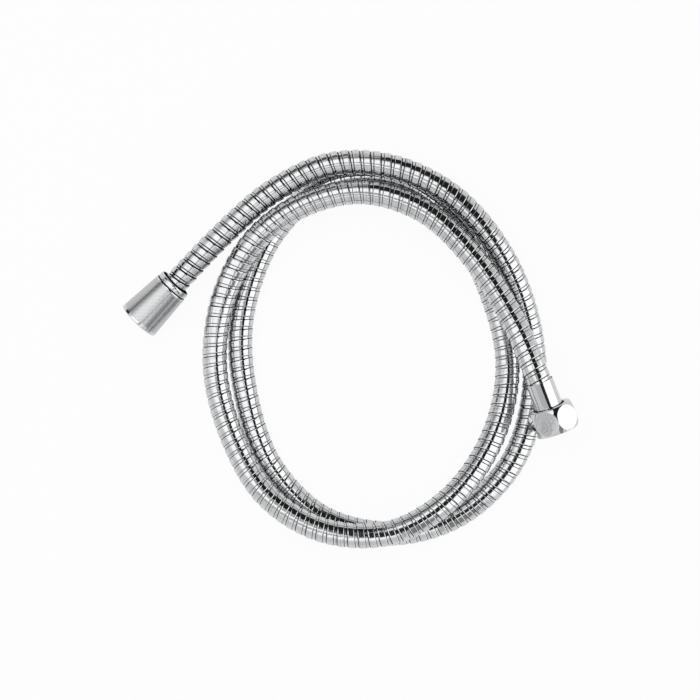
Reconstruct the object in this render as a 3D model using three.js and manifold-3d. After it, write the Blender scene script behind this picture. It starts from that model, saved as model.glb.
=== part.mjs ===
// A metal shower hose lying in a loose coil of two and a half turns, in millimetres, +Z up, floor at z = 0.
// A tapered knurled nut closes one end and a hexagon nut the other; both spin on flanged inserts.
import * as THREE from "three";
import { mergeVertices } from "three/addons/utils/BufferGeometryUtils.js";
import Module from "manifold-3d";

const wasm = await Module();
wasm.setup();

// Hose
const HOSE_R = 7.0;
const CASING_WALL = 0.9;
const TUBE_R = 5.6;
const TUBE_BORE_R = 4.3;
const TURN_STEPS = 80;
const SECTION_SIDES = 12;

// Depths measured inwards from the mouth of either nut, along the end's axis
const HOSE_START = 13.0;
const WASHER_FACE = 7.0;
const WASHER_THICK = 2.0;
const FLANGE_THICK = 2.0;
const SEAT_GAP = 0.3;
const TAIL_END = 27.0;

// Half-inch pipe thread of the nuts, at its minor diameter, and the play of flange and washer in it
const THREAD_MINOR_R = 9.32;
const BORE_PLAY = 0.32;
const FLANGE_R = THREAD_MINOR_R - BORE_PLAY;
const WASHER_HOLE_R = 5.5;
const INSERT_BORE_R = 3.0;
const TAIL_R = 3.75;

// Ferrules
const FERRULE_NUT_R = 7.75;
const FERRULE_HOSE_R = 7.6;
const FERRULE_INNER_R = 7.3;
const FERRULE_WEB = 1.1;
const FERRULE_BARREL = 5.0;
const HEX_FERRULE_END = 29.5;
const CONE_FERRULE_END = 26.4;

// Hexagon nut
const HEX_FLATS = 24.0;
const HEX_LENGTH = 14.5;
const HEX_BALL_R = 13.9;
const HEX_HOLE_R = 8.1;
const HEX_TURN = THREE.MathUtils.degToRad(3);

// Tapered nut
const CONE_MOUTH_R = 12.0;
const CONE_TAPER_END_R = 10.0;
const CONE_TAPER_END = 26.2;
const CONE_COLLAR_R = 9.65;
const CONE_LENGTH = 29.9;
const CONE_HOLE_R = 8.2;
const CONE_EDGE = 0.9;

// Hose centre line, from inside the tapered nut to inside the hexagon nut,
// two and a half turns clockwise seen from above
const ROUTE = [
  [-108.5, 25.0, 13.5],
  [-96.0, 37.5, 15.5],
  [-70.0, 64.0, 18.0],
  [-42.5, 87.5, 19.0],
  [-9.5, 102.5, 20.0],
  [26.0, 100.5, 20.5],
  [59.5, 83.0, 20.0],
  [86.0, 51.0, 15.5],
  [101.0, 13.0, 8.5],
  [103.5, -26.0, 7.0],
  [91.0, -64.5, 7.0],
  [61.5, -93.0, 7.0],
  [23.5, -103.5, 7.0],
  [-15.0, -94.5, 7.0],
  [-44.0, -65.5, 7.0],
  [-58.5, -23.0, 7.0],
  [-60.0, 19.5, 7.0],
  [-42.5, 65.5, 7.0],
  [-10.0, 93.0, 7.0],
  [27.0, 94.0, 7.0],
  [58.0, 72.0, 7.0],
  [79.5, 32.5, 7.0],
  [89.0, -8.5, 7.0],
  [81.0, -47.5, 11.5],
  [57.5, -81.5, 19.0],
  [23.5, -101.5, 21.5],
  [-13.5, -100.5, 22.0],
  [-45.0, -82.0, 19.0],
  [-65.5, -48.0, 15.0],
  [-75.0, -9.5, 12.5],
  [-70.0, 28.5, 16.0],
  [-52.5, 60.0, 20.5],
  [-26.0, 79.5, 22.0],
  [7.5, 87.0, 21.5],
  [41.5, 76.5, 21.5],
  [69.0, 50.5, 22.0],
  [90.5, 16.0, 24.0],
  [104.5, -17.5, 28.0],
  [110.5, -33.0, 26.2],
].map((p) => new THREE.Vector3(...p));

// A smooth curve through the route that never sinks below the floor.
class HoseLine extends THREE.Curve {
  constructor(points) {
    super();
    this.spline = new THREE.CatmullRomCurve3(points, false, "centripetal");
    this.arcLengthDivisions = 1200;
  }
  getPoint(t, target = new THREE.Vector3()) {
    this.spline.getPoint(t, target);
    target.z = Math.max(target.z, HOSE_R);
    return target;
  }
}

function ring(radius, sides) {
  const points = [];
  for (let i = 0; i < sides; i++) {
    const a = ((i + 0.5) / sides) * Math.PI * 2;
    points.push(new THREE.Vector2(radius * Math.cos(a), radius * Math.sin(a)));
  }
  return points;
}

function tubeAlong(line, outer, inner) {
  const shape = new THREE.Shape(ring(outer, SECTION_SIDES));
  shape.holes.push(new THREE.Path(ring(inner, SECTION_SIDES).reverse()));
  return new THREE.ExtrudeGeometry(shape, {
    extrudePath: line,
    steps: TURN_STEPS,
    bevelEnabled: false,
  });
}

// A closed profile of [radius, depth] pairs turned about the end's axis.
function turned(profile, segments) {
  const points = [...profile, profile[0]].map((p) => new THREE.Vector2(p[0], p[1]));
  return new THREE.LatheGeometry(points, segments);
}

function toSolid(geometry) {
  const g = geometry.clone();
  g.deleteAttribute("normal");
  g.deleteAttribute("uv");
  const merged = mergeVertices(g, 1e-4);
  let solid = new wasm.Manifold(
    new wasm.Mesh({
      numProp: 3,
      vertProperties: merged.attributes.position.array,
      triVerts: new Uint32Array(merged.index.array),
    }),
  );
  if (solid.volume() < 0) {
    const index = merged.index.array.slice().reverse();
    solid = new wasm.Manifold(
      new wasm.Mesh({
        numProp: 3,
        vertProperties: merged.attributes.position.array,
        triVerts: new Uint32Array(index),
      }),
    );
  }
  return solid;
}

function fromSolid(solid) {
  const mesh = solid.getMesh();
  const g = new THREE.BufferGeometry();
  g.setAttribute("position", new THREE.BufferAttribute(new Float32Array(mesh.vertProperties), 3));
  g.setIndex(new THREE.BufferAttribute(new Uint32Array(mesh.triVerts), 1));
  const flat = g.toNonIndexed();
  flat.computeVertexNormals();
  return flat;
}

// A frame whose +Y runs inwards from a nut's mouth along the hose and whose +Z leans upwards.
function endFrame(inner, outer) {
  const along = outer.clone().sub(inner).normalize();
  const up = new THREE.Vector3(0, 0, 1).addScaledVector(along, -along.z).normalize();
  const side = new THREE.Vector3().crossVectors(along, up);
  const mouth = inner.clone().addScaledVector(along, -HOSE_START);
  return new THREE.Matrix4().makeBasis(side, along, up).setPosition(mouth);
}

const line = new HoseLine(ROUTE);
const coneFrame = endFrame(ROUTE[0], ROUTE[1]);
const hexFrame = endFrame(ROUTE[ROUTE.length - 1], ROUTE[ROUTE.length - 2]);

const flangeFront = WASHER_FACE + WASHER_THICK + SEAT_GAP;
const flangeBack = flangeFront + FLANGE_THICK;
const shoulder = flangeBack + SEAT_GAP;

const washer = turned(
  [
    [WASHER_HOLE_R, WASHER_FACE],
    [FLANGE_R, WASHER_FACE],
    [FLANGE_R, WASHER_FACE + WASHER_THICK],
    [WASHER_HOLE_R, WASHER_FACE + WASHER_THICK],
  ],
  40,
);

const insert = turned(
  [
    [INSERT_BORE_R, flangeFront],
    [FLANGE_R, flangeFront],
    [FLANGE_R, flangeBack],
    [TAIL_R, flangeBack],
    [TAIL_R, TAIL_END],
    [INSERT_BORE_R, TAIL_END],
  ],
  40,
);

function ferrule(end) {
  return turned(
    [
      [TAIL_R + SEAT_GAP, shoulder],
      [FERRULE_NUT_R - 0.4, shoulder],
      [FERRULE_NUT_R, shoulder + 0.4],
      [FERRULE_NUT_R, shoulder + FERRULE_BARREL],
      [FERRULE_HOSE_R, end - 0.2],
      [FERRULE_HOSE_R - 0.1, end],
      [FERRULE_INNER_R, end],
      [FERRULE_INNER_R, shoulder + FERRULE_WEB],
      [TAIL_R + SEAT_GAP, shoulder + FERRULE_WEB],
    ],
    40,
  );
}

// The turned cavity of either nut: a thread entry, the threaded bore, a shoulder and the hole for the hose.
function cavity(holeR, length) {
  return toSolid(
    turned(
      [
        [0, -1],
        [THREAD_MINOR_R + 1.0, -1],
        [THREAD_MINOR_R + 1.0, 0],
        [THREAD_MINOR_R, 0.9],
        [THREAD_MINOR_R, shoulder],
        [holeR, shoulder],
        [holeR, length + 1],
        [0, length + 1],
      ],
      40,
    ),
  );
}

function hexNut() {
  const corner = HEX_FLATS / 2 / Math.cos(Math.PI / 6);
  const outline = new THREE.Shape();
  for (let i = 0; i < 6; i++) {
    const a = (i / 6) * Math.PI * 2 + Math.PI / 6 + HEX_TURN;
    const x = corner * Math.cos(a);
    const y = corner * Math.sin(a);
    if (i) outline.lineTo(x, y);
    else outline.moveTo(x, y);
  }
  const prism = new THREE.ExtrudeGeometry(outline, { depth: HEX_LENGTH, bevelEnabled: false });
  prism.rotateX(-Math.PI / 2);
  const ballProfile = [[0, 0]];
  for (let i = 0; i <= 14; i++) {
    const depth = (i / 14) * HEX_LENGTH;
    const off = depth - HEX_LENGTH / 2;
    ballProfile.push([Math.sqrt(HEX_BALL_R ** 2 - off ** 2), depth]);
  }
  ballProfile.push([0, HEX_LENGTH]);
  const ball = toSolid(turned(ballProfile, 72));
  return toSolid(prism).intersect(ball).subtract(cavity(HEX_HOLE_R, HEX_LENGTH));
}

function coneNut() {
  const body = toSolid(
    turned(
      [
        [0, 0],
        [CONE_MOUTH_R - CONE_EDGE, 0],
        [CONE_MOUTH_R, CONE_EDGE],
        [CONE_TAPER_END_R, CONE_TAPER_END],
        [CONE_COLLAR_R - 0.35, CONE_TAPER_END + 0.3],
        [CONE_COLLAR_R - 0.35, CONE_TAPER_END + 0.8],
        [CONE_COLLAR_R, CONE_TAPER_END + 1.1],
        [CONE_COLLAR_R, CONE_LENGTH - 0.9],
        [CONE_COLLAR_R - 0.9, CONE_LENGTH],
        [0, CONE_LENGTH],
      ],
      56,
    ),
  );
  return body.subtract(cavity(CONE_HOLE_R, CONE_LENGTH));
}

const chromeLook = { color: 0xd8dadc, roughness: 0.08, metalness: 1.0 };
const satinLook = { color: 0xb4b6b8, roughness: 0.38, metalness: 1.0 };
const brassLook = { color: 0xb8964e, roughness: 0.3, metalness: 1.0 };
const rubberLook = { color: 0x1c1c1e, roughness: 0.75, metalness: 0.0 };
const linerLook = { color: 0xb9bcc0, roughness: 0.6, metalness: 0.0 };

const hose = new THREE.Group();
hose.name = "shower_hose";

function place(name, geometry, look, frame) {
  const mesh = new THREE.Mesh(geometry, new THREE.MeshStandardMaterial(look));
  mesh.name = name;
  if (frame) mesh.applyMatrix4(frame);
  hose.add(mesh);
}

place("outer_casing", tubeAlong(line, HOSE_R, HOSE_R - CASING_WALL), chromeLook);
place("inner_tube", tubeAlong(line, TUBE_R, TUBE_BORE_R), linerLook);
place("cone_nut", fromSolid(coneNut()), satinLook, coneFrame);
place("cone_end_insert", insert.clone(), brassLook, coneFrame);
place("cone_end_ferrule", ferrule(CONE_FERRULE_END), chromeLook, coneFrame);
place("cone_end_washer", washer.clone(), rubberLook, coneFrame);
place("hex_nut", fromSolid(hexNut()), chromeLook, hexFrame);
place("hex_end_insert", insert.clone(), brassLook, hexFrame);
place("hex_end_ferrule", ferrule(HEX_FERRULE_END), chromeLook, hexFrame);
place("hex_end_washer", washer.clone(), rubberLook, hexFrame);

export default hose;
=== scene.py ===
import math

import bmesh
import bpy
import numpy as np
from bpy.props import FloatProperty, FloatVectorProperty, IntProperty, PointerProperty
from mathutils import Matrix, Vector


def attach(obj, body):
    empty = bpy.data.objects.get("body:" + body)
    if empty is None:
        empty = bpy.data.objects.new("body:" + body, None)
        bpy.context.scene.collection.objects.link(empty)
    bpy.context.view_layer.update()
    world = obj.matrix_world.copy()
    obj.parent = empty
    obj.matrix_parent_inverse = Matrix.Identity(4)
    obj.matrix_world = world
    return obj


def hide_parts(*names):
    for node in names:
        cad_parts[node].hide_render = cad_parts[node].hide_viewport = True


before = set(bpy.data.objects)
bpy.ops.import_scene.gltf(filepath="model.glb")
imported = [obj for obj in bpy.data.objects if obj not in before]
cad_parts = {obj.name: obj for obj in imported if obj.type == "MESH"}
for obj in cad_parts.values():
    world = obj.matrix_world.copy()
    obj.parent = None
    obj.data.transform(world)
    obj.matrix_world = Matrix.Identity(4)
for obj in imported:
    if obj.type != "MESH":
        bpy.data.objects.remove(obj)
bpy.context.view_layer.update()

bl_info = {
    "name": "Coiled Metal Shower Hose",
    "version": (1, 0, 0),
    "blender": (4, 5, 0),
    "location": "3D View > Sidebar > Shower Hose",
    "description": "Wound casing, union nuts and fittings of a metal shower hose, over its fixed frame",
    "category": "Object",
}

MM = 0.001

# Hose centre line in metres, from inside the tapered nut to inside the hexagon nut.
ROUTE = (
    (-0.1085, 0.0250, 0.0135),
    (-0.0960, 0.0375, 0.0155),
    (-0.0700, 0.0640, 0.0180),
    (-0.0425, 0.0875, 0.0190),
    (-0.0095, 0.1025, 0.0200),
    (0.0260, 0.1005, 0.0205),
    (0.0595, 0.0830, 0.0200),
    (0.0860, 0.0510, 0.0155),
    (0.1010, 0.0130, 0.0085),
    (0.1035, -0.0260, 0.0070),
    (0.0910, -0.0645, 0.0070),
    (0.0615, -0.0930, 0.0070),
    (0.0235, -0.1035, 0.0070),
    (-0.0150, -0.0945, 0.0070),
    (-0.0440, -0.0655, 0.0070),
    (-0.0585, -0.0230, 0.0070),
    (-0.0600, 0.0195, 0.0070),
    (-0.0425, 0.0655, 0.0070),
    (-0.0100, 0.0930, 0.0070),
    (0.0270, 0.0940, 0.0070),
    (0.0580, 0.0720, 0.0070),
    (0.0795, 0.0325, 0.0070),
    (0.0890, -0.0085, 0.0070),
    (0.0810, -0.0475, 0.0115),
    (0.0575, -0.0815, 0.0190),
    (0.0235, -0.1015, 0.0215),
    (-0.0135, -0.1005, 0.0220),
    (-0.0450, -0.0820, 0.0190),
    (-0.0655, -0.0480, 0.0150),
    (-0.0750, -0.0095, 0.0125),
    (-0.0700, 0.0285, 0.0160),
    (-0.0525, 0.0600, 0.0205),
    (-0.0260, 0.0795, 0.0220),
    (0.0075, 0.0870, 0.0215),
    (0.0415, 0.0765, 0.0215),
    (0.0690, 0.0505, 0.0220),
    (0.0905, 0.0160, 0.0240),
    (0.1045, -0.0175, 0.0280),
    (0.1105, -0.0330, 0.0262),
)

# How the centre line is worked out, lengths in metres.
HOSE_RADIUS = 0.007
SPLINE_STEPS = 60  # places between two points of the route
EVENED_OVER = 41  # places over which the hose's bend is evened out
STRETCH_LIMITS = (0.85, 1.15)

# Depth of the hose's end inside either nut, and of the shoulder that the ferrule stands on, in mm.
HOSE_START = 13.0
SHOULDER = 11.6

# The wound strip in mm; the places of its seams are shares of the pitch.
LOW_BAND = 0.40  # the recessed band under the crest
SEAM_FLOOR = 0.95  # the seams' floor under the crest
DEEPEST = 0.97
SECOND_SEAM = 0.9
WALL_RADIUS = 6.0
WALL_RINGS = 140

# How much looser the strip is at the tapered end, and the length in metres over which that fades.
SLACK_REACH = 0.24
WIDER_SEAMS = (0.75, 0.8)
DEEPER_BAND = 0.35
DEEPER_SEAM = 0.70
BAND_LEAN = 0.12

# Half-inch pipe thread of both nuts in mm; its flats are shares of the pitch.
THREAD_RADIUS = 9.32
THREAD_FROM = 0.9
THREAD_TO = 10.9
THREAD_STEPS = 56
THREAD_FLAT = 0.12

# Knurling: mesh steps across a diamond, and how far up its sides the tip is blunt.
KNURL_STEPS = 4
KNURL_TIP = 0.8

# Hexagon nut in mm and degrees, with the mesh steps along a side of one sixth.
HEX_FLAT = 12.0
HEX_BALL = 13.82
HEX_HALF = 7.25
HEX_RIM = 0.12
HEX_SOFTENING = 0.02
HEX_TURN = -3
HEX_STEPS = 24


# Sizes and colours


class HoseWinding(bpy.types.PropertyGroup):
    """The strip that is wound into the casing."""

    pitch: FloatProperty(
        name="Pitch",
        description="Length of hose that one turn of the strip takes",
        default=0.00565,
        min=0.003,
        max=0.012,
        subtype="DISTANCE",
        unit="LENGTH",
    )
    crest_radius: FloatProperty(
        name="Crest radius",
        description="Radius of the raised band",
        default=HOSE_RADIUS,
        min=0.005,
        max=0.012,
        subtype="DISTANCE",
        unit="LENGTH",
    )
    band_share: FloatProperty(
        name="Raised share",
        description="Share of the pitch that the raised band covers",
        default=0.66,
        min=0.4,
        max=0.8,
        subtype="FACTOR",
    )
    sides: IntProperty(
        name="Sides",
        description="Faces round the casing",
        default=30,
        min=16,
        max=30,
    )


class NutDetail(bpy.types.PropertyGroup):
    """Knurling and threads of the union nuts."""

    knurl_count: IntProperty(
        name="Knurls",
        description="Diamonds of the knurling round the tapered nut",
        default=64,
        min=24,
        max=90,
    )
    knurl_height: FloatProperty(
        name="Knurl height",
        description="Height of the knurling's diamonds",
        default=0.00006,
        min=0.0,
        max=0.0005,
        precision=5,
        subtype="DISTANCE",
        unit="LENGTH",
    )
    thread_pitch: FloatProperty(
        name="Thread pitch",
        description="Pitch of the half-inch pipe thread",
        default=0.001814,
        min=0.001,
        max=0.003,
        precision=6,
        subtype="DISTANCE",
        unit="LENGTH",
    )
    thread_depth: FloatProperty(
        name="Thread depth",
        description="Depth of the pipe thread",
        default=0.0011,
        min=0.0002,
        max=0.0013,
        precision=5,
        subtype="DISTANCE",
        unit="LENGTH",
    )


class HoseFinish(bpy.types.PropertyGroup):
    """Colours and polish of the metals, rubber and liner, and the near-black painted shade of the seams and
    bores.
    """

    chrome: FloatVectorProperty(
        name="Chrome",
        description="Colour of the polished plating",
        default=(0.60, 0.605, 0.612),
        size=3,
        min=0.0,
        max=1.0,
        subtype="COLOR",
    )
    satin: FloatVectorProperty(
        name="Satin chrome",
        description="Colour of the knurled plating",
        default=(0.60, 0.603, 0.608),
        size=3,
        min=0.0,
        max=1.0,
        subtype="COLOR",
    )
    # Near-black colour painted as shade inside the casing's seams, the ferrules, the nuts' bores and the
    # tapered nut's groove.
    gap: FloatVectorProperty(
        name="Seam",
        description="Colour of the bare strip edge inside the casing's seams",
        default=(0.015, 0.015, 0.016),
        size=3,
        min=0.0,
        max=1.0,
        subtype="COLOR",
    )
    brass: FloatVectorProperty(
        name="Brass",
        description="Colour of the inserts",
        default=(0.60, 0.42, 0.17),
        size=3,
        min=0.0,
        max=1.0,
        subtype="COLOR",
    )
    rubber: FloatVectorProperty(
        name="Rubber",
        description="Colour of the washers",
        default=(0.018, 0.018, 0.020),
        size=3,
        min=0.0,
        max=1.0,
        subtype="COLOR",
    )
    liner: FloatVectorProperty(
        name="Liner",
        description="Colour of the inner tube",
        default=(0.50, 0.51, 0.53),
        size=3,
        min=0.0,
        max=1.0,
        subtype="COLOR",
    )
    polish: FloatProperty(
        name="Polish",
        description="Roughness of the polished plating",
        default=0.05,
        min=0.02,
        max=0.5,
        subtype="FACTOR",
    )


class StudioSettings(bpy.types.PropertyGroup):
    """Camera height and strength of the light."""

    camera_height: FloatProperty(
        name="Camera height",
        description="Height of the camera over the floor",
        default=1.0,
        min=0.4,
        max=4.0,
        subtype="DISTANCE",
        unit="LENGTH",
    )
    view_width: FloatProperty(
        name="View width",
        description="Width of floor that the camera sees",
        default=0.3959,
        min=0.2,
        max=1.0,
        subtype="DISTANCE",
        unit="LENGTH",
    )
    fill: FloatProperty(
        name="Fill light",
        description="Strength of the even light from all round",
        default=0.75,
        min=0.0,
        max=2.0,
    )


# Centre line and frames of the two ends


def spline(points, steps):
    """Centripetal spline through the points, held at or above the hose's own radius over the floor."""
    p = [np.array(q, float) for q in points]
    p = [2 * p[0] - p[1]] + p + [2 * p[-1] - p[-2]]
    out = []
    for i in range(1, len(p) - 2):
        a, b, c, d = p[i - 1 : i + 3]
        t0, t1, t2 = (max(np.linalg.norm(v) ** 0.5, 1e-9) for v in (b - a, c - b, d - c))
        m1 = ((b - a) / t0 - (c - a) / (t0 + t1) + (c - b) / t1) * t1
        m2 = ((c - b) / t1 - (d - b) / (t1 + t2) + (d - c) / t2) * t1
        k = np.linspace(0, 1, steps, endpoint=False)[:, None]
        square = (3 * (c - b) - 2 * m1 - m2) * k**2
        cube = (2 * (b - c) + m1 + m2) * k**3
        out.append(b + m1 * k + square + cube)
    line = np.vstack(out + [p[-2][None, :]])
    line[:, 2] = np.maximum(line[:, 2], HOSE_RADIUS)
    return line


class HoseLine:
    """Places on the hose's centre line by the length run from its start."""

    def __init__(self, points):
        self.at = spline(points, SPLINE_STEPS)
        step = np.linalg.norm(np.diff(self.at, axis=0), axis=1)
        self.run = np.concatenate([[0.0], np.cumsum(step)])
        self.length = float(self.run[-1])
        ahead = np.gradient(self.at, self.run, axis=0)
        self.ahead = ahead / np.linalg.norm(ahead, axis=1)[:, None]
        self.bend = self._evened(np.gradient(self.ahead, self.run, axis=0))
        self.side = self._carried_side()
        self.over = np.cross(self.ahead, self.side)

    def _evened(self, table):
        """The table with each place averaged with its neighbours."""
        kernel = np.ones(EVENED_OVER) / EVENED_OVER
        wide = [np.pad(table[:, k], EVENED_OVER // 2, mode="edge") for k in range(3)]
        return np.stack([np.convolve(column, kernel, "valid") for column in wide], axis=-1)

    def _carried_side(self):
        """A sideways direction at each place, carried along the hose without twisting."""
        side = np.zeros_like(self.at)
        first = np.cross(self.ahead[0], (0.0, 0.0, 1.0))
        side[0] = first / np.linalg.norm(first)
        for i in range(1, len(side)):
            v = side[i - 1] - self.ahead[i] * np.dot(side[i - 1], self.ahead[i])
            side[i] = v / np.linalg.norm(v)
        return side

    def _pick(self, table, run):
        """Values of a table at the given lengths."""
        run = np.clip(run, 0.0, self.length)
        return np.stack([np.interp(run, self.run, table[:, k]) for k in range(3)], axis=-1)

    def centre(self, run):
        """Places on the centre line."""
        return self._pick(self.at, run)

    def outward(self, run, angle):
        """Directions away from the centre line, at an angle round the hose."""
        side, over = self._pick(self.side, run), self._pick(self.over, run)
        way = side * np.cos(angle)[..., None] + over * np.sin(angle)[..., None]
        return way / np.linalg.norm(way, axis=-1)[..., None]

    def around(self, run, angle, radius):
        """Places round the hose, at an angle and a distance from its middle."""
        return self.centre(run) + self.outward(run, angle) * np.asarray(radius)[..., None]

    def stretch(self, run, angle, radius):
        """How much longer the hose is on this side than along its middle."""
        lean = np.sum(self._pick(self.bend, run) * self.outward(run, angle), axis=-1)
        return np.clip(1.0 - radius * lean, *STRETCH_LIMITS)


def end_frame(inner, outer):
    """Frame of an end: Y runs inwards from the nut's mouth, Z leans upwards."""
    along = (Vector(outer) - Vector(inner)).normalized()
    up = (Vector((0, 0, 1)) - along * along.z).normalized()
    side = along.cross(up)
    mouth = Vector(inner) - along * HOSE_START * MM
    basis = Matrix((side, along, up)).transposed().to_4x4()
    return Matrix.Translation(mouth) @ basis


LINE = HoseLine(ROUTE)
CONE_END = end_frame(ROUTE[0], ROUTE[1])
HEX_END = end_frame(ROUTE[-1], ROUTE[-2])


# Meshes


def add_mesh(name, points, faces, materials, slots, tags):
    """A smooth mesh piece; an edge whose two ends share a tag above zero is sharp."""
    mesh = bpy.data.meshes.new(name)
    mesh.from_pydata([tuple(p) for p in points], [], faces)
    mesh.update(calc_edges=True)
    mesh.polygons.foreach_set("use_smooth", np.ones(len(mesh.polygons), bool))
    ends = np.zeros(len(mesh.edges) * 2, np.int32)
    mesh.edges.foreach_get("vertices", ends)
    tag = np.asarray(tags)[ends.reshape(-1, 2)]
    sharp = (tag[:, 0] > 0) & (tag[:, 0] == tag[:, 1])
    mesh.attributes.new("sharp_edge", "BOOLEAN", "EDGE").data.foreach_set("value", sharp)
    for material in materials:
        mesh.materials.append(material)
    mesh.polygons.foreach_set("material_index", np.asarray(slots, np.int32))
    mesh.validate()
    piece = bpy.data.objects.new(name, mesh)
    bpy.context.scene.collection.objects.link(piece)
    return piece


def turn_outwards(piece, merge=0.0):
    """Joins points closer than merge, in metres, and turns every face outwards."""
    shape = bmesh.new()
    shape.from_mesh(piece.data)
    if merge:
        bmesh.ops.remove_doubles(shape, verts=shape.verts, dist=merge)
    bmesh.ops.recalc_face_normals(shape, faces=shape.faces)
    shape.to_mesh(piece.data)
    shape.free()


def grid(profile, columns, first_angle=0.0):
    """Radius, depth and angle of each point of a turned profile, row by row."""
    angle = first_angle + np.arange(columns) / columns * 2 * math.pi
    r = np.repeat(np.array([p[0] for p in profile], float)[:, None], columns, axis=1)
    y = np.repeat(np.array([p[1] for p in profile], float)[:, None], columns, axis=1)
    return r, y, np.repeat(angle[None, :], len(profile), axis=0)


def spun(r, y, angle):
    """Points in mm about an end's axis."""
    return np.stack([r * np.cos(angle), y, r * np.sin(angle)], axis=-1).reshape(-1, 3)


def seated(place, points):
    """Points in mm of an end's own frame, moved to their place in the scene."""
    axis = np.array(place)
    return np.asarray(points) * MM @ axis[:3, :3].T + axis[:3, 3]


def ring_faces(rows, columns, first=0, closed=True):
    """Faces between the rows of a turned profile, whose points are numbered from first."""
    faces = []
    for i in range(rows if closed else rows - 1):
        a, b = first + i * columns, first + (i + 1) % rows * columns
        for j in range(columns):
            k = (j + 1) % columns
            faces.append((a + j, a + k, b + k, b + j))
    return faces


def row_values(profile, columns):
    """Slot of each face and tag of each point of a turned profile, row by row."""
    slots = np.repeat([p[2] for p in profile], columns)
    tags = np.repeat([i + 1 if p[3] else 0 for i, p in enumerate(profile)], columns)
    return slots, tags


def turned(name, place, profile, columns, materials, relief=None):
    """A piece turned about an end's axis.

    The profile is a closed row of (radius, depth, slot, sharp), in mm.
    """
    r, y, angle = grid(profile, columns)
    faces = ring_faces(len(profile), columns)
    clockwise = np.sum(r[:, 0] * np.roll(y[:, 0], -1) - np.roll(r[:, 0], -1) * y[:, 0]) > 0
    if clockwise:
        faces = [face[::-1] for face in faces]
    if relief is not None:
        r = relief(r, y, angle)
    points = seated(place, spun(r, y, angle))
    return add_mesh(name, points, faces, materials, *row_values(profile, columns))


def thread_rows():
    """Even rows of a nut's threaded bore, from its mouth inwards."""
    step = (THREAD_TO - THREAD_FROM) / THREAD_STEPS
    return [(THREAD_RADIUS, THREAD_FROM + step * k, 0, False) for k in range(THREAD_STEPS + 1)]


def thread_relief(detail):
    """Deepens a bore into a single-start pipe thread that runs out at its inner end."""
    pitch = detail.thread_pitch / MM
    deep = detail.thread_depth / MM
    lead_in, run_out = 0.5, 1.2
    near = 1e-6

    def relief(r, y, angle):
        turn = y / pitch - angle / (2 * math.pi)
        wave = 1.0 - np.abs((turn % 1.0) * 2 - 1)
        wave = np.clip((wave - THREAD_FLAT) / (1 - 2 * THREAD_FLAT), 0, 1)
        fade = np.clip((y - THREAD_FROM) / lead_in, 0, 1) * np.clip((THREAD_TO - y) / run_out, 0, 1)
        along = (y >= THREAD_FROM - near) & (y <= THREAD_TO + near)
        bore = (np.abs(r - THREAD_RADIUS) < near) & along
        return r + np.where(bore, wave * deep * fade, 0.0)

    return relief


def rounded(r0, y0, r1, y1, r2, y2, steps=3):
    """Stations of a rounded corner between two points, bending at the middle one."""
    out = []
    for k in range(steps + 1):
        t = k / steps
        r = (1 - t) ** 2 * r0 + 2 * t * (1 - t) * r1 + t**2 * r2
        y = (1 - t) ** 2 * y0 + 2 * t * (1 - t) * y1 + t**2 * y2
        out.append((r, y, 0, False))
    return out


# Materials


def new_group(name, inputs, outputs):
    """A node group with named inputs and outputs, and its two end nodes."""
    tree = bpy.data.node_groups.new(name, "ShaderNodeTree")
    for label, kind, value in inputs:
        tree.interface.new_socket(label, in_out="INPUT", socket_type=kind).default_value = value
    for label, kind in outputs:
        tree.interface.new_socket(label, in_out="OUTPUT", socket_type=kind)
    start = tree.nodes.new("NodeGroupInput")
    end = tree.nodes.new("NodeGroupOutput")
    return tree, start, end


def new_material(name):
    """A material, its node tree and its shader."""
    material = bpy.data.materials.new(name)
    material.use_nodes = True
    tree = material.node_tree
    return material, tree, tree.nodes["Principled BSDF"]


def set_inputs(node, values):
    """Sets a node's sockets by their labels."""
    for label, value in values.items():
        node.inputs[label].default_value = value


def ramp(tree, low, high, source, out_low=0.0, out_high=1.0):
    """A value rising from one output to the other as its source goes from low to high."""
    node = tree.nodes.new("ShaderNodeMapRange")
    set_inputs(node, {"From Min": low, "From Max": high, "To Min": out_low, "To Max": out_high})
    tree.links.new(source, node.inputs["Value"])
    return node.outputs["Result"]


def math_node(tree, operation, *operands):
    """A sum, product or the like of sockets and plain numbers."""
    node = tree.nodes.new("ShaderNodeMath")
    node.operation = operation
    for socket, value in zip(node.inputs, operands):
        if isinstance(value, (int, float)):
            socket.default_value = value
        else:
            tree.links.new(value, socket)
    return node.outputs[0]


def noise(tree, vector, scale, detail):
    """Cloudy noise over a vector; its scale is a number or a socket."""
    node = tree.nodes.new("ShaderNodeTexNoise")
    node.inputs["Detail"].default_value = detail
    if isinstance(scale, (int, float)):
        node.inputs["Scale"].default_value = scale
    else:
        tree.links.new(scale, node.inputs["Scale"])
    tree.links.new(vector, node.inputs["Vector"])
    return node.outputs["Fac"]


def multiplied(tree, factor, source, tint):
    """A colour multiplied by a tint, as far as the factor says."""
    mix = tree.nodes.new("ShaderNodeMix")
    mix.data_type = "RGBA"
    mix.blend_type = "MULTIPLY"
    mix.inputs["B"].default_value = (*tint, 1)
    tree.links.new(factor, mix.inputs["Factor"])
    tree.links.new(source, mix.inputs["A"])
    return mix.outputs["Result"]


def add_bump(tree, shader, height, strength, depth):
    """Raises a material's surface by a height, at most depth metres."""
    rise = tree.nodes.new("ShaderNodeBump")
    set_inputs(rise, {"Strength": strength, "Distance": depth})
    tree.links.new(height, rise.inputs["Height"])
    tree.links.new(rise.outputs["Normal"], shader.inputs["Normal"])


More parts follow.
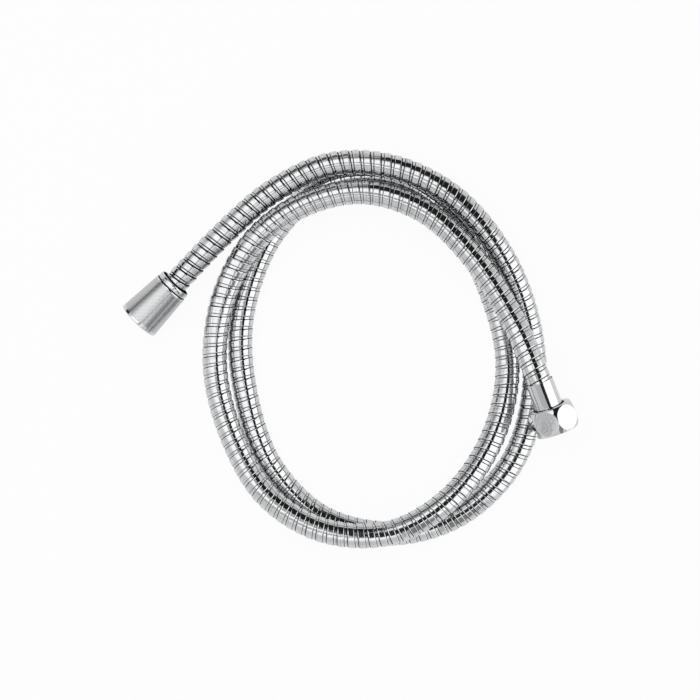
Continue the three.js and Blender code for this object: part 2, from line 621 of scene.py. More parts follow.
def plating_group():
    """Handling haze and fine hairlines on plated metal: a tint, a roughness and a height."""
    found = bpy.data.node_groups.get("plating_marks")
    if found:
        return found
    tree, start, end = new_group(
        "plating_marks",
        (
            ("Colour", "NodeSocketColor", (0.8, 0.8, 0.8, 1)),
            ("Polish", "NodeSocketFloat", 0.07),
            ("Haze", "NodeSocketFloat", 0.04),
            ("Grain", "NodeSocketFloat", 900.0),
            ("Streak", "NodeSocketFloat", 0.0),
            ("Lines", "NodeSocketVector", (1.0, 1.0, 1.0)),
        ),
        (
            ("Colour", "NodeSocketColor"),
            ("Roughness", "NodeSocketFloat"),
            ("Height", "NodeSocketFloat"),
        ),
    )
    given = start.outputs
    place = tree.nodes.new("ShaderNodeTexCoord").outputs["Object"]
    cloud = noise(tree, place, 38.0, 3.0)
    fine = noise(tree, place, given["Grain"], 2.0)
    hairs = noise(tree, given["Lines"], 1.0, 2.0)
    haze = ramp(tree, 0.45, 0.75, cloud)
    rough = math_node(tree, "MULTIPLY_ADD", haze, given["Haze"], given["Polish"])
    rough = math_node(tree, "ADD", rough, ramp(tree, 0.35, 0.75, fine, -0.01, 0.03))
    tree.links.new(rough, end.inputs["Roughness"])
    hazed = multiplied(tree, haze, given["Colour"], (0.93, 0.935, 0.95))
    line = math_node(tree, "MULTIPLY", ramp(tree, 0.56, 0.66, hairs), given["Streak"])
    tree.links.new(multiplied(tree, line, hazed, (0.5, 0.5, 0.5)), end.inputs["Colour"])
    height = math_node(tree, "ADD", hairs, math_node(tree, "MULTIPLY", fine, 0.3))
    tree.links.new(height, end.inputs["Height"])
    return tree


def metal(name, colour, polish, haze, grain, lines, bump, depth, cut_shade_tone=None, streak=0.0):
    """Plated metal whose hairlines follow the given vector source, with optional painted shade darkening its
    cuts.
    """
    found = bpy.data.materials.get(name)
    if found:
        return found
    material, tree, shader = new_material(name)
    shader.inputs["Metallic"].default_value = 1.0
    marks = tree.nodes.new("ShaderNodeGroup")
    marks.node_tree = plating_group()
    set_inputs(marks, {"Colour": (*colour, 1), "Polish": polish, "Haze": haze})
    set_inputs(marks, {"Grain": grain, "Streak": streak})
    source, scale = lines
    stretch = tree.nodes.new("ShaderNodeMapping")
    stretch.inputs["Scale"].default_value = scale
    tree.links.new(tree.nodes.new("ShaderNodeTexCoord").outputs[source], stretch.inputs["Vector"])
    tree.links.new(stretch.outputs["Vector"], marks.inputs["Lines"])
    base = marks.outputs["Colour"]
    if cut_shade_tone is not None:
        # Painted shade: the knurling's cuts are darkened towards the cut tone.
        relief = tree.nodes.new("ShaderNodeAttribute")
        relief.attribute_name = "relief"
        painted_cut_shade = ramp(tree, 0.1, 0.8, relief.outputs["Fac"], 1.0, 0.0)
        base = multiplied(tree, painted_cut_shade, base, (cut_shade_tone, cut_shade_tone, cut_shade_tone))
    tree.links.new(base, shader.inputs["Base Color"])
    tree.links.new(marks.outputs["Roughness"], shader.inputs["Roughness"])
    add_bump(tree, shader, marks.outputs["Height"], bump, depth)
    return material


def soft_material(name, colour, roughness, grain, depth):
    """Rubber or plastic with a moulded grain."""
    found = bpy.data.materials.get(name)
    if found:
        return found
    material, tree, shader = new_material(name)
    place = tree.nodes.new("ShaderNodeTexCoord").outputs["Object"]
    fine = noise(tree, place, grain, 3.0)
    broad = noise(tree, place, grain / 12, 2.0)
    shade = tree.nodes.new("ShaderNodeMix")
    shade.data_type = "RGBA"
    shade.inputs["A"].default_value = (*colour, 1)
    shade.inputs["B"].default_value = (*(min(1, c * 1.6 + 0.01) for c in colour), 1)
    tree.links.new(ramp(tree, 0.4, 0.7, broad), shade.inputs["Factor"])
    tree.links.new(shade.outputs["Result"], shader.inputs["Base Color"])
    rough = ramp(tree, 0.3, 0.7, fine, roughness - 0.08, roughness + 0.1)
    tree.links.new(rough, shader.inputs["Roughness"])
    add_bump(tree, shader, fine, 0.4, depth)
    return material


def chrome_plate(finish):
    """Mirror-bright plating of the nuts' rims and of the ferrules."""
    return metal("chrome_plate", finish.chrome, finish.polish, 0.04, 900.0,
                 ("Object", (170.0, 170.0, 170.0)), 0.35, 0.00008)


def chrome_strip(finish):
    """Plating of the wound strip, with hairlines that run along the strip."""
    return metal("chrome_strip", finish.chrome, finish.polish + 0.01, 0.04, 1200.0,
                 ("UV", (1.2, 15.0, 1.0)), 0.4, 0.00004, streak=0.8)


def knurled_chrome(finish):
    """Satin plating of the knurling, with painted shade darkening its cuts."""
    return metal("knurled_chrome", finish.satin, 0.17, 0.06, 1600.0,
                 ("Object", (1500.0, 1500.0, 1500.0)), 0.2, 0.00005, cut_shade_tone=0.6)


def cut_brass(finish):
    """Lathe-cut brass of the inserts."""
    return metal("cut_brass", finish.brass, 0.26, 0.08, 1500.0,
                 ("Object", (1200.0, 1200.0, 1200.0)), 0.25, 0.00005)


def painted_shade_metal(finish):
    """Painted shade: near-black metal inside the seams, the ferrules, the nuts' bores and the tapered nut's
    collar.
    """
    return metal("painted_shade_metal", finish.gap, 0.45, 0.1, 1500.0,
                 ("UV", (2.0, 18.0, 1.0)), 0.3, 0.00005)


# Casing


def strip_profile(winding):
    """Stations across one turn of the wound strip.

    Each is a share of the pitch, a radius in metres, 1 for the seam's painted shade or 0 for chrome, and
    sharp or not.
    """
    w = winding.band_share
    top = winding.crest_radius
    low = top - LOW_BAND * MM
    floor = top - SEAM_FLOOR * MM
    return (
        (0.000, floor, 1, False),
        (0.010, low, 0, True),
        (0.034, top - 0.24 * MM, 0, False),
        (0.075, top - 0.16 * MM, 0, True),
        (w - 0.10, top - 0.02 * MM, 0, True),
        (w - 0.03, top, 0, False),
        (w, top - 0.08 * MM, 1, True),
        (w + 0.008, floor, 1, False),
        (w + 0.066, floor, 1, False),
        (w + 0.078, low - 0.05 * MM, 0, True),
        (0.966, low, 1, True),
        (0.976, floor, 1, False),
    )


def strip_points(winding, stations, rows, angle):
    """Points of the wound strip, one row round the hose for each station of each turn."""
    n = len(stations)
    pitch, w, top = winding.pitch, winding.band_share, winding.crest_radius
    turn, which = np.arange(rows) // n, np.arange(rows) % n
    share = np.array([s[0] for s in stations])[which][:, None]
    radius = np.array([s[1] for s in stations])[which][:, None]
    start = pitch * (turn[:, None] + angle[None, :] / (2 * math.pi))
    # Towards the tapered end the turns stand a little further apart and their steps show more.
    slack = np.exp(-((start / SLACK_REACH) ** 2))
    wider, second = WIDER_SEAMS
    q = np.where((share > w) & (share < SECOND_SEAM), w + (share - w) * (1 + wider * slack), share)
    q = np.where(share >= SECOND_SEAM, 1 - (1 - share) * (1 + second * slack), q)
    lean = BAND_LEAN * MM * slack * np.clip(1 - share / w, 0.0, 1.0)
    deeper = np.where(share > w, DEEPER_SEAM, DEEPER_BAND)
    drop = np.minimum((top - radius) * (1 + deeper * slack) + lean, DEEPEST * MM)
    # A bend opens the seams on its outside and closes them on its inside; the raised band keeps its width.
    middle = w / 2
    grown = LINE.stretch(start + middle * pitch, np.broadcast_to(angle, start.shape), top)
    band_end = middle * pitch + (w - middle) * pitch / grown
    next_start = pitch + middle * pitch - middle * pitch / grown
    on_band = middle * pitch + (q - middle) * pitch / grown
    t = (q - w) / (1 - w)
    off = np.where(q <= w, on_band, (1 - t) * band_end + t * next_start)
    run = np.clip(start + off, 0.0, LINE.length)
    return LINE.around(run, np.broadcast_to(angle, run.shape), top - drop)


def strip_faces(stations, sides, rows):
    """Faces of the strip, with each one's slot and its corners' places on the unrolled strip."""
    n = len(stations)
    faces, slots, unrolled = [], [], []
    for i in range(rows - 1):
        a, b = i * sides, (i + 1) * sides
        v0 = stations[i % n][0]
        v1 = stations[(i + 1) % n][0] if (i + 1) % n else 1.0
        for j in range(sides):
            if j < sides - 1:
                corner = (a + j, a + j + 1, b + j + 1, b + j)
            elif i + n + 1 < rows:
                corner = (a + j, a + n * sides, b + n * sides, b + j)
            else:
                continue
            faces.append(corner)
            slots.append(stations[i % n][2])
            u0 = i // n + j / sides
            u1 = u0 + 1 / sides
            unrolled.append(((u0, v0), (u1, v0), (u1, v1), (u0, v1)))
    return faces, slots, unrolled


def closing_faces(n, sides, rows):
    """Faces of the inner wall and the flat ends, which close a strip of n stations into a tube.

    Their points follow the strip's: the rings of the wall, then one ring at each end.
    """
    wall = rows * sides
    near = wall + WALL_RINGS * sides
    far = near + sides
    wall_end = near - sides
    last_row = (rows - 1) * sides
    faces = []
    for a in range(wall, wall_end, sides):
        b = a + sides
        for j in range(sides):
            k = (j + 1) % sides
            faces.append((a + j, b + j, b + k, a + k))
    for j in range(sides):
        k = (j + 1) % sides
        faces.append((near + j, wall + j, wall + k, near + k))
        faces.append((far + k, wall_end + k, wall_end + j, far + j))
        if k:
            faces.append((near + j, near + k, k, j))
            faces.append((last_row + j, last_row + k, far + k, far + j))
    # One face of many corners at each end fills the step where the helix starts or stops.
    first_seam = [i * sides for i in range(n + 1)]
    last_seam = [(rows - 1 - n + i) * sides + sides - 1 for i in range(n + 1)]
    faces.append((near + sides - 1, near, *first_seam, sides - 1))
    faces.append((*last_seam, far + sides - 1, far, last_row))
    return faces


def wound_casing(winding, materials):
    """The hose's casing: one chromed strip wound in a right-handed helix, each turn hooked into the last."""
    sides = winding.sides
    stations = strip_profile(winding)
    n = len(stations)
    turns = int(LINE.length / winding.pitch) - 1
    rows = turns * n + 1
    angle = np.arange(sides) / sides * 2 * math.pi
    strip = strip_points(winding, stations, rows, angle)
    spots = np.repeat(np.linspace(0.0, LINE.length, WALL_RINGS)[:, None], sides, axis=1)
    wall = LINE.around(spots, np.broadcast_to(angle, spots.shape), WALL_RADIUS * MM)
    floor = stations[0][1]
    ends = [LINE.around(np.full(sides, run), angle, floor) for run in (0.0, LINE.length)]
    points = np.vstack([strip.reshape(-1, 3), wall.reshape(-1, 3), *ends])

    faces, slots, unrolled = strip_faces(stations, sides, rows)
    closing = closing_faces(n, sides, rows)
    faces += closing
    # The inner wall and the flat ends take the seam's painted shade.
    slots += [1] * len(closing)
    unrolled += [((0.0, 0.0),) * len(face) for face in closing]
    tags = np.zeros(len(points), int)
    tags[: rows * sides] = np.repeat([k % n + 1 if stations[k % n][3] else 0 for k in range(rows)], sides)

    piece = add_mesh("wound_casing", points, faces, materials, slots, tags)
    layer = piece.data.uv_layers.new(name="winding")
    corners = np.array([uv for face in unrolled for uv in face], np.float32)
    layer.data.foreach_set("uv", corners.ravel())
    turn_outwards(piece)
    return piece


# Nuts


def tapered_nut(detail, materials):
    """Tapered union nut: fine diamond knurling between a polished rim and a polished collar."""
    count = detail.knurl_count
    columns = count * KNURL_STEPS
    high = detail.knurl_height / MM
    knurl_from, knurl_to = 2.1, 25.3
    taper_from, taper_to = 0.9, 26.2
    rim, collar = 12.0, 10.0
    sunk = 0.14
    cell = math.pi * (rim + collar) / count
    cells = max(2, round((knurl_to - knurl_from) / cell))

    def cone(y):
        return rim + (collar - rim) * (y - taper_from) / (taper_to - taper_from)

    # From the mouth's inner edge over the rim to the knurling.
    rows = rounded(10.35, 0.35, 10.42, 0.0, 10.8, 0.0)
    rows += rounded(11.55, 0.0, 11.92, 0.0, 11.97, 0.32)
    rows += [(rim, 0.5, 0, False), (rim, 1.2, 0, False), (11.99, 1.95, 0, True)]
    rows += [(cone(knurl_from) - sunk, 2.05, 0, True)]
    first = len(rows)
    total = cells * KNURL_STEPS
    for k in range(total + 1):
        y = knurl_from + (knurl_to - knurl_from) * k / total
        rows.append((cone(y) - sunk, y, 1, False))
    last = len(rows) - 1
    rows[last] = (*rows[last][:2], 0, True)
    # Land, groove with painted shade, and rolled collar.
    rows += [(cone(25.4), 25.4, 0, False), (cone(25.8), 25.8, 0, False), (9.86, taper_to, 2, True)]
    rows += [(9.2, 26.3, 2, False), (9.2, 26.8, 2, True), (9.5, 26.9, 0, True)]
    rows += rounded(9.6, 27.05, 9.66, 27.2, 9.66, 27.5, 2)
    rows += [(9.66, 28.4, 0, False)]
    rows += rounded(9.64, 28.8, 9.55, 29.85, 9.1, 29.9, 5)
    # Back through the bore to the mouth; the bore carries painted shade.
    rows += [(8.95, 29.8, 2, True), (8.8, 29.3, 2, True), (8.8, 12.4, 2, False)]
    rows += [(8.4, SHOULDER, 0, True), (THREAD_RADIUS, SHOULDER, 0, True)]
    rows += thread_rows()[::-1]
    thread = thread_relief(detail)
    knurled = np.zeros((len(rows), 1), bool)
    knurled[first + 1 : last] = True

    def relief(r, y, angle):
        u = angle * count / (2 * math.pi)
        v = (y - knurl_from) / (knurl_to - knurl_from) * cells
        one = 1 - np.abs(((u + v) % 1.0) * 2 - 1)
        two = 1 - np.abs(((u - v) % 1.0) * 2 - 1)
        diamond = np.clip(np.minimum(one, two) / KNURL_TIP, 0, 1)
        return thread(r, y, angle) + np.where(knurled, diamond * high, 0.0)

    piece = turned("tapered_union_nut", CONE_END, rows, columns, materials, relief)
    r, y, angle = grid(rows, columns)
    store_relief(piece, np.where(knurled, (relief(r, y, angle) - r) / max(high, 1e-9), 1.0))
    return piece


def store_relief(piece, heights):
    """Keeps each point's height on the knurling, from 0 in a cut to 1 on a tip, for the material's painted
    shade in the cuts.
    """
    spot = piece.data.attributes.new("relief", "FLOAT", "POINT")
    spot.data.foreach_set("value", heights.astype(np.float32).ravel())


def on_flat(base, x, y):
    """A point on the flat that faces the angle base, x across it and y along the nut."""
    c, s = math.cos(base), math.sin(base)
    return (HEX_FLAT * c - x * s, HEX_HALF + y, HEX_FLAT * s + x * c)


def on_ball(base, lean, y, sunk):
    """A point on the ball that the corners are turned to, lean being its angle from the flat's middle."""
    r = math.sqrt(HEX_BALL**2 - y**2) - sunk
    return (r * math.cos(base + lean), HEX_HALF + y, r * math.sin(base + lean))


def sixth_border(edge):
    """Border of one sixth of the nut: degrees from the flat's middle, and mm along the nut."""
    steps = range(HEX_STEPS)
    border = [(-30 + 60 * k / HEX_STEPS, edge) for k in steps]
    border += [(30, edge - 2 * edge * k / HEX_STEPS) for k in steps]
    border += [(30 - 60 * k / HEX_STEPS, -edge) for k in steps]
    border += [(-30, -edge + 2 * edge * k / HEX_STEPS) for k in steps]
    return border


def hexagon_sixth(base, edge, first):
    """One round flat with the ball round it: points in mm, and faces numbered from first."""
    border = sixth_border(edge)
    size = len(border)
    way = [math.atan2(y / edge, lean / 30) for lean, y in border]
    disc = math.sqrt(HEX_BALL**2 - HEX_FLAT**2)
    points = [on_flat(base, 0, 0)]
    for share in (0.30, 0.60, 0.82, 0.94, 0.985):
        points += [on_flat(base, disc * share * math.cos(t), disc * share * math.sin(t)) for t in way]
    for share in (0.0, 0.03, 0.12, 0.35, 0.65, 1.0):
        sunk = 0.0 if share else HEX_SOFTENING
        for (lean, y), t in zip(border, way):
            x0, y0 = disc * math.cos(t), disc * math.sin(t)
            lean0, lean1 = math.atan2(x0, HEX_FLAT), math.radians(lean)
            place = on_ball(base, lean0 + (lean1 - lean0) * share, y0 + (y - y0) * share, sunk)
            points.append(place)
    faces = [(first, first + 1 + k, first + 1 + (k + 1) % size) for k in range(size)]
    for a in range(first + 1, first + len(points) - size, size):
        b = a + size
        for k in range(size):
            q = (k + 1) % size
            faces.append((a + k, b + k, b + q, a + q))
    return points, faces


def hexagon_nut(detail, materials):
    """Hexagon union nut whose corners are turned away to a ball, so that each flat is a round window."""
    edge = HEX_HALF - HEX_RIM
    turn = math.radians(HEX_TURN)
    points, faces = [], []
    for m in range(6):
        more_points, more_faces = hexagon_sixth(turn + m * math.pi / 3, edge, len(points))
        points += more_points
        faces += more_faces

    # Front face and mouth, thread, shoulder, bore with painted shade, and back face.
    top = math.sqrt(HEX_BALL**2 - edge**2)
    back = 2 * HEX_HALF
    rows = rounded(top, HEX_RIM, top - 0.03, 0.0, top - 0.22, 0.0)
    rows += rounded(10.75, 0.0, 10.45, 0.0, 10.25, 0.12)
    rows[-1] = (*rows[-1][:2], 0, True)
    rows += thread_rows()
    rows += [(THREAD_RADIUS, SHOULDER, 0, True), (8.12, SHOULDER, 0, True)]
    rows += [(8.1, 12.0, 1, False), (8.1, 13.2, 1, False), (8.95, 14.42, 1, False)]
    rows += rounded(9.0, 14.46, 9.05, back, 9.2, back)
    rows += rounded(top - 0.22, back, top - 0.03, back, top, back - HEX_RIM)
    columns = 6 * HEX_STEPS
    r, y, angle = grid(rows, columns, turn - math.radians(30))
    row_slots, row_tags = row_values(rows, columns)
    slots = [0] * len(faces) + list(row_slots[:-columns])
    tags = [0] * len(points) + list(row_tags)
    faces += ring_faces(len(rows), columns, first=len(points), closed=False)
    points = np.vstack([points, spun(thread_relief(detail)(r, y, angle), y, angle)])
    piece = add_mesh("hexagon_union_nut", seated(HEX_END, points), faces, materials, slots, tags)
    turn_outwards(piece, merge=2e-6)
    return piece


# Fittings of both ends


def ferrule(name, place, end, materials):
    """Sleeve that closes on the hose's end: straight in the nut, then tapering to a rolled lip."""
    hole, inside, lip, wide = 4.05, 7.3, 7.6, 7.75
    floor = SHOULDER + 1.1
    straight = SHOULDER + 5.0
    steps = 9
    rows = [(hole, SHOULDER, 0, True), (7.1, SHOULDER, 0, False)]
    rows += rounded(7.35, SHOULDER, wide, SHOULDER, wide, SHOULDER + 0.4)
    rows += [(wide, SHOULDER + 3.0, 0, False)]
    for k in range(steps):
        t = k / steps
        rows.append((wide + (lip - wide) * t, straight + (end - 0.5 - straight) * t, 0, False))
    rows += rounded(lip, end - 0.35, lip, end, 7.5, end)
    # The sleeve's inside carries painted shade.
    rows += [(7.45, end - 0.1, 1, True), (inside, end - 1.2, 1, False)]
    rows += [(inside, floor, 1, True), (hole, floor, 1, True)]
    return turned(name, place, rows, 96, materials)


def insert(name, place, materials):
    """Flanged insert with a barbed tail that grips the inner tube."""
    hole, flange = 3.0, 9.0
    front, back = 9.3, 11.3
    root, barb, barbs, barb_from, barb_step = 3.6, 4.18, 5, 14.5, 2.4
    rows = [(hole, 9.6, 0, False)]
    rows += rounded(hole, 9.5, hole, front, 3.2, front)
    rows += rounded(8.75, front, flange, front, flange, 9.55)
    rows += rounded(flange, 11.05, flange, back, 8.75, back)
    rows += [(3.9, back, 0, True), (3.75, 11.45, 0, False), (3.75, 14.0, 0, False)]
    for k in range(barbs):
        y = barb_from + barb_step * k
        rows += [(root, y, 0, True), (barb, y + 0.35, 0, True), (4.1, y + 0.8, 0, False)]
    rows += [(root, 26.7, 0, False)]
    rows += rounded(3.55, 26.9, 3.4, 27.0, 3.15, 27.0, 2)
    rows += [(hole, 26.85, 0, False)]
    return turned(name, place, rows, 72, materials)


def washer(name, place, materials):
    """Flat rubber seal with soft edges and a fine moulding line round its rim."""
    hole, rim = 5.5, 9.0
    front, back = 7.0, 9.0
    soft = 0.3
    rows = rounded(hole, front + soft, hole, front, hole + soft, front)
    rows += [(7.0, front, 0, False), (7.1, 7.08, 0, False), (7.4, 7.08, 0, False), (7.5, front, 0, False)]
    rows += rounded(rim - soft, front, rim, front, rim, front + soft)
    rows += [(rim, 7.9, 0, False), (9.08, 8.0, 0, False), (rim, 8.1, 0, False)]
    rows += rounded(rim, back - soft, rim, back, rim - soft, back)
    rows += rounded(hole + soft, back, hole, back, hole, back - soft)
    return turned(name, place, rows, 96, materials)


# Operators of the pieces


class HOSE_OT_casing(bpy.types.Operator):
    """Winds the chromed strip along the hose and dresses the tube inside it"""

    bl_idname = "shower_hose.casing"
    bl_label = "Casing and inner tube"

    def execute(self, context):
        finish = context.scene.hose_finish
        piece = wound_casing(context.scene.hose_winding, [chrome_strip(finish), painted_shade_metal(finish)])
        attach(piece, "hose")
        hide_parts("outer_casing")
        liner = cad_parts["inner_tube"]
        liner.data.materials.clear()
        liner.data.materials.append(soft_material("liner_plastic", finish.liner, 0.55, 900.0, 0.00003))
        return {"FINISHED"}


class HOSE_OT_tapered_nut(bpy.types.Operator):
    """Cuts the knurled tapered nut with its rims and its thread"""

    bl_idname = "shower_hose.tapered_nut"
    bl_label = "Tapered nut"

    def execute(self, context):
        finish = context.scene.hose_finish
        metals = [chrome_plate(finish), knurled_chrome(finish), painted_shade_metal(finish)]
        piece = tapered_nut(context.scene.nut_detail, metals)
        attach(piece, "tapered_nut")
        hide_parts("cone_nut")
        return {"FINISHED"}


class HOSE_OT_hexagon_nut(bpy.types.Operator):
    """Cuts the hexagon nut with its round flats and its thread"""

    bl_idname = "shower_hose.hexagon_nut"
    bl_label = "Hexagon nut"

    def execute(self, context):
        finish = context.scene.hose_finish
        piece = hexagon_nut(context.scene.nut_detail, [chrome_plate(finish), painted_shade_metal(finish)])
        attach(piece, "hexagon_nut")
        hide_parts("hex_nut")
        return {"FINISHED"}


class HOSE_OT_fittings(bpy.types.Operator):
    """Turns the ferrules, the brass inserts and the rubber washers of both ends"""

    bl_idname = "shower_hose.fittings"
    bl_label = "Ferrules, inserts and washers"

    def execute(self, context):
        finish = context.scene.hose_finish
        plated = [chrome_plate(finish), painted_shade_metal(finish)]
        brass = [cut_brass(finish)]
        rubber = [soft_material("washer_rubber", finish.rubber, 0.62, 1400.0, 0.00004)]
        for side, place, end in (("cone", CONE_END, 26.4), ("hex", HEX_END, 29.5)):
            for piece, node, slot in (
                (ferrule(side + "_end_sleeve", place, end, plated), "_end_ferrule", "chrome"),
                (insert(side + "_end_tail", place, brass), "_end_insert", "brass"),
                (washer(side + "_end_seal", place, rubber), "_end_washer", "rubber"),
            ):
                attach(piece, "hose")
                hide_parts(side + node)
        return {"FINISHED"}


class HOSE_OT_cord(bpy.types.Operator):
    bl_idname = "shower_hose.cord"
    bl_label = "Hose as one length"

    def execute(self, context):
        return {"FINISHED"}


# Studio


def overhead(outline, height):
    """Corners of a card hung level, each given as compass degrees and degrees off the vertical."""
    corners = []
    for compass, lean in outline:
        reach = height * math.tan(math.radians(lean))
        turn = math.radians(compass)
        corners.append((reach * math.cos(turn), reach * math.sin(turn), height))
    return corners


def hung(outline, height):
    """Corners of a card hung level, each given as a place over the floor in metres."""
    return [(x, y, height) for x, y in outline]


def upright(x0, y0, x1, y1, low, high):
    """Corners of a card that stands upright between two places on the floor, in metres."""
    return [(x0, y0, low), (x1, y1, low), (x1, y1, high), (x0, y0, high)]


def card(name, corners, tone):
    """A flat card that only reflections see."""
    mesh = bpy.data.meshes.new(name)
    mesh.from_pydata(corners, [], [tuple(range(len(corners)))])
    piece = bpy.data.objects.new(name, mesh)
    material, tree, paper = new_material(name + "_paper")
    tree.nodes.remove(paper)
    glow = tree.nodes.new("ShaderNodeEmission")
    glow.inputs["Color"].default_value = (tone, tone, tone, 1)
    tree.links.new(glow.outputs["Emission"], tree.nodes["Material Output"].inputs["Surface"])
    mesh.materials.append(material)
    bpy.context.scene.collection.objects.link(piece)
    piece.visible_camera = False
    piece.visible_diffuse = False
    piece.visible_shadow = False
    piece.visible_transmission = False
    return piece


def floor_material():
    """White paper that takes the hose's shadow, and shows nearly white to camera and reflections."""
    material, tree, paper = new_material("floor_paper")
    set_inputs(paper, {"Base Color": (0.62, 0.62, 0.62, 1), "Roughness": 0.9, "Specular IOR Level": 0.1})
    glow = tree.nodes.new("ShaderNodeEmission")
    glow.inputs["Color"].default_value = (1, 1, 1, 1)
    rays = tree.nodes.new("ShaderNodeLightPath").outputs
    tree.links.new(ramp(tree, 0.0, 1.0, rays["Is Glossy Ray"], 1.0, 1.35), glow.inputs["Strength"])
    seen = math_node(tree, "MULTIPLY", rays["Is Camera Ray"], 0.94)
    mirrored = math_node(tree, "MULTIPLY", rays["Is Glossy Ray"], 0.45)
    blend = tree.nodes.new("ShaderNodeMixShader")
    tree.links.new(math_node(tree, "ADD", seen, mirrored), blend.inputs["Fac"])
    tree.links.new(paper.outputs["BSDF"], blend.inputs[1])
    tree.links.new(glow.outputs["Emission"], blend.inputs[2])
    tree.links.new(blend.outputs["Shader"], tree.nodes["Material Output"].inputs["Surface"])
    return material


def studio_air(fill):
    """White surroundings: a tent that shines more overhead in reflections, and an even fill light."""
    world = bpy.data.worlds.new("studio_air")
    world.use_nodes = True
    tree = world.node_tree
    air = tree.nodes["Background"]
    rays = tree.nodes.new("ShaderNodeLightPath").outputs
    way = tree.nodes.new("ShaderNodeSeparateXYZ")
    tree.links.new(tree.nodes.new("ShaderNodeTexCoord").outputs["Generated"], way.inputs["Vector"])
    tent = ramp(tree, 0.58, 0.90, way.outputs["Z"], 0.88, 1.60)
    tent.node.interpolation_type = "SMOOTHSTEP"
    shine = math_node(tree, "MULTIPLY", rays["Is Glossy Ray"], tent)
    plain = math_node(tree, "MULTIPLY", rays["Is Diffuse Ray"], fill)
    seen = math_node(tree, "MAXIMUM", rays["Is Camera Ray"], rays["Is Transmission Ray"])
    level = math_node(tree, "MAXIMUM", math_node(tree, "MAXIMUM", shine, plain), seen)
    tree.links.new(level, air.inputs["Strength"])
    air.inputs["Color"].default_value = (1, 1, 1, 1)
    return world


def soft_lamp(name, place, size, power):
    """A square lamp aimed at the middle of the floor, which reflections don't see."""
    lamp = bpy.data.lights.new(name, "AREA")
    lamp.shape = "SQUARE"
    lamp.size = size
    lamp.energy = power
    holder = bpy.data.objects.new(name, lamp)
    holder.location = place
    holder.rotation_euler = (-Vector(place)).to_track_quat("-Z", "Y").to_euler()
    holder.visible_glossy = False
    bpy.context.scene.collection.objects.link(holder)


class HOSE_OT_studio(bpy.types.Operator):
    """Sets the white floor, the soft lamp, the reflection cards and the camera"""

    bl_idname = "shower_hose.studio"
    bl_label = "Studio and camera"

    def execute(self, context):
        scene = context.scene
        studio = scene.hose_studio
        bpy.ops.mesh.primitive_plane_add(size=FLOOR_WIDTH, location=(0, 0, 0))
        floor = context.active_object
        floor.name = "floor"
        floor.data.materials.append(floor_material())
        scene.world = studio_air(studio.fill)
        soft_lamp("top_softbox", (-0.3, 0.2, 1.4), 1.2, 12)
        for name, corners, tone in CARDS:
            card(name, corners, tone)

        camera = bpy.data.cameras.new("view")
        camera.sensor_width = SENSOR_WIDTH
        camera.lens = SENSOR_WIDTH * studio.camera_height / studio.view_width
        camera.clip_start = 0.01
        holder = bpy.data.objects.new("view", camera)
        holder.location = (*CAMERA_PLACE, studio.camera_height)
        scene.collection.objects.link(holder)
        scene.camera = holder
        scene.view_settings.view_transform = "Standard"
        return {"FINISHED"}


# Floor and camera's place over it in metres, and the camera's sensor in mm.
FLOOR_WIDTH = 6.0
CAMERA_PLACE = (0.0005, -0.0005)
SENSOR_WIDTH = 36.0

# Outlines of the camera stand's head, strap and arms, and of a wall behind them, as they mirror in the
# chrome: compass degrees and degrees off the vertical.
CAMERA_HEAD = (
    (-28, 31), (-15, 29), (0, 28), (15, 27), (30, 22), (45, 15), (60, 11), (30, 5), (-60, 11),
    (-68, 20), (-66, 28), (-60, 35), (-54, 35), (-46, 26),
)
CAMERA_STRAP = ((60, 10), (140, 12), (180, 15), (220, 12), (-75, 9), (0, 4))
UPPER_ARM = (
    (10, 20), (17, 27), (25, 35), (33, 43), (42, 50), (47, 60), (51, 70), (57, 77), (84, 77),
    (91, 66), (91, 50), (112, 49), (112, 45.5), (88, 43), (80, 33), (73, 23), (68, 12),
)
LOWER_ARM = (
    (-40, 34), (-43, 50), (-44, 62), (-52, 74), (-54, 79), (-62, 79), (-61, 60), (-60, 45), (-58, 33),
)
FAR_ARM = ((100, 62), (112, 54), (140, 54), (145, 76), (100, 78))
GREY_WALL = ((60, 40), (100, 34), (145, 50), (150, 80), (60, 80))
DIM_SHEET = ((-65, 16), (-151, 46), (-138, 54), (-76, 27))
LEFT_SOFTBOX = ((163, 28), (164, 63), (190, 63), (192, 28))

# Outlines of two small panes that the hexagon nut's left flat mirrors: places over the floor in metres.
DIM_PANE = ((-0.352, -0.432), (-0.340, -0.404), (-0.330, -0.408), (-0.340, -0.436))
LIT_PANE = ((-0.330, -0.426), (-0.318, -0.398), (-0.312, -0.402), (-0.323, -0.430))

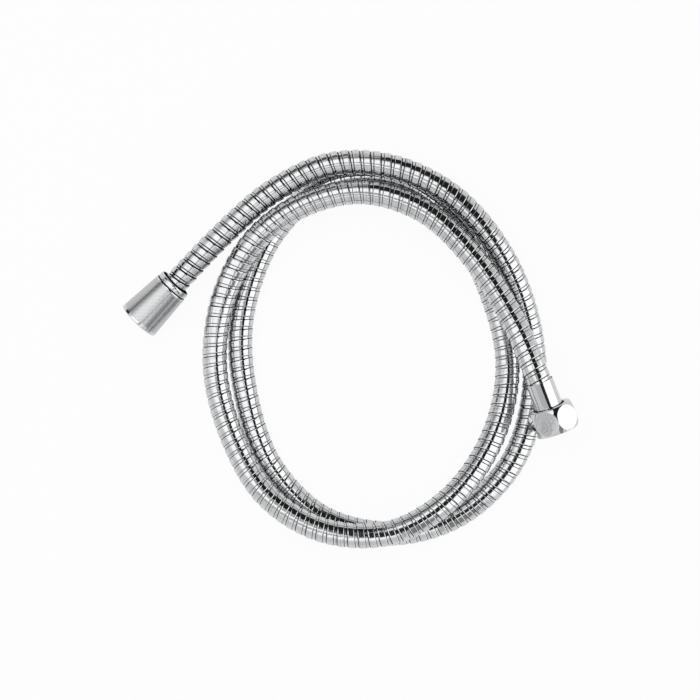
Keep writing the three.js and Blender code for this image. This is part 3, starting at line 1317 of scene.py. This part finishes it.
# Each card's name, corners and brightness, where 1 is white.
CARDS = (
    ("camera_head", overhead(CAMERA_HEAD, 0.5), 0.03),
    ("camera_strap", overhead(CAMERA_STRAP, 0.502), 0.60),
    ("upper_arm", overhead(UPPER_ARM, 0.505), 0.02),
    ("lower_arm", overhead(LOWER_ARM, 0.51), 0.32),
    ("far_arm", overhead(FAR_ARM, 0.515), 0.12),
    ("grey_wall", overhead(GREY_WALL, 0.53), 0.70),
    ("dim_sheet", overhead(DIM_SHEET, 0.54), 0.68),
    ("dark_stand", upright(-0.438, 0.158, -0.402, 0.222, 0.0, 0.2), 0.03),
    ("dim_pane", hung(DIM_PANE, 0.5), 0.45),
    ("lit_pane", hung(LIT_PANE, 0.5), 1.20),
    ("right_softbox", upright(1.7, -1.4, 1.7, 1.0, 0.12, 3.1), 1.75),
    ("left_softbox", overhead(LEFT_SOFTBOX, 1.5), 1.6),
)


class HOSE_PT_panel(bpy.types.Panel):
    """Sizes, finishes and building steps of the shower hose"""

    bl_idname = "HOSE_PT_panel"
    bl_label = "Shower Hose"
    bl_space_type = "VIEW_3D"
    bl_region_type = "UI"
    bl_category = "Shower Hose"

    def draw(self, context):
        layout = self.layout
        scene = context.scene
        for group in (scene.hose_winding, scene.nut_detail, scene.hose_finish, scene.hose_studio):
            box = layout.box()
            for key in group.__annotations__:
                box.prop(group, key)
        for operator in STEPS:
            layout.operator(operator.bl_idname)


GROUPS = (
    ("hose_winding", HoseWinding),
    ("nut_detail", NutDetail),
    ("hose_finish", HoseFinish),
    ("hose_studio", StudioSettings),
)
STEPS = (
    HOSE_OT_studio,
    HOSE_OT_casing,
    HOSE_OT_tapered_nut,
    HOSE_OT_hexagon_nut,
    HOSE_OT_fittings,
    HOSE_OT_cord,
)


def register():
    for name, group in GROUPS:
        bpy.utils.register_class(group)
        setattr(bpy.types.Scene, name, PointerProperty(type=group))
    for operator in STEPS:
        bpy.utils.register_class(operator)
    bpy.utils.register_class(HOSE_PT_panel)


def unregister():
    bpy.utils.unregister_class(HOSE_PT_panel)
    for operator in reversed(STEPS):
        bpy.utils.unregister_class(operator)
    for name, group in reversed(GROUPS):
        delattr(bpy.types.Scene, name)
        bpy.utils.unregister_class(group)


def main():
    register()
    bpy.ops.shower_hose.studio()
    bpy.ops.shower_hose.casing()
    bpy.ops.shower_hose.tapered_nut()
    bpy.ops.shower_hose.hexagon_nut()
    bpy.ops.shower_hose.fittings()
    bpy.ops.shower_hose.cord()


if __name__ == "__main__":
    main()
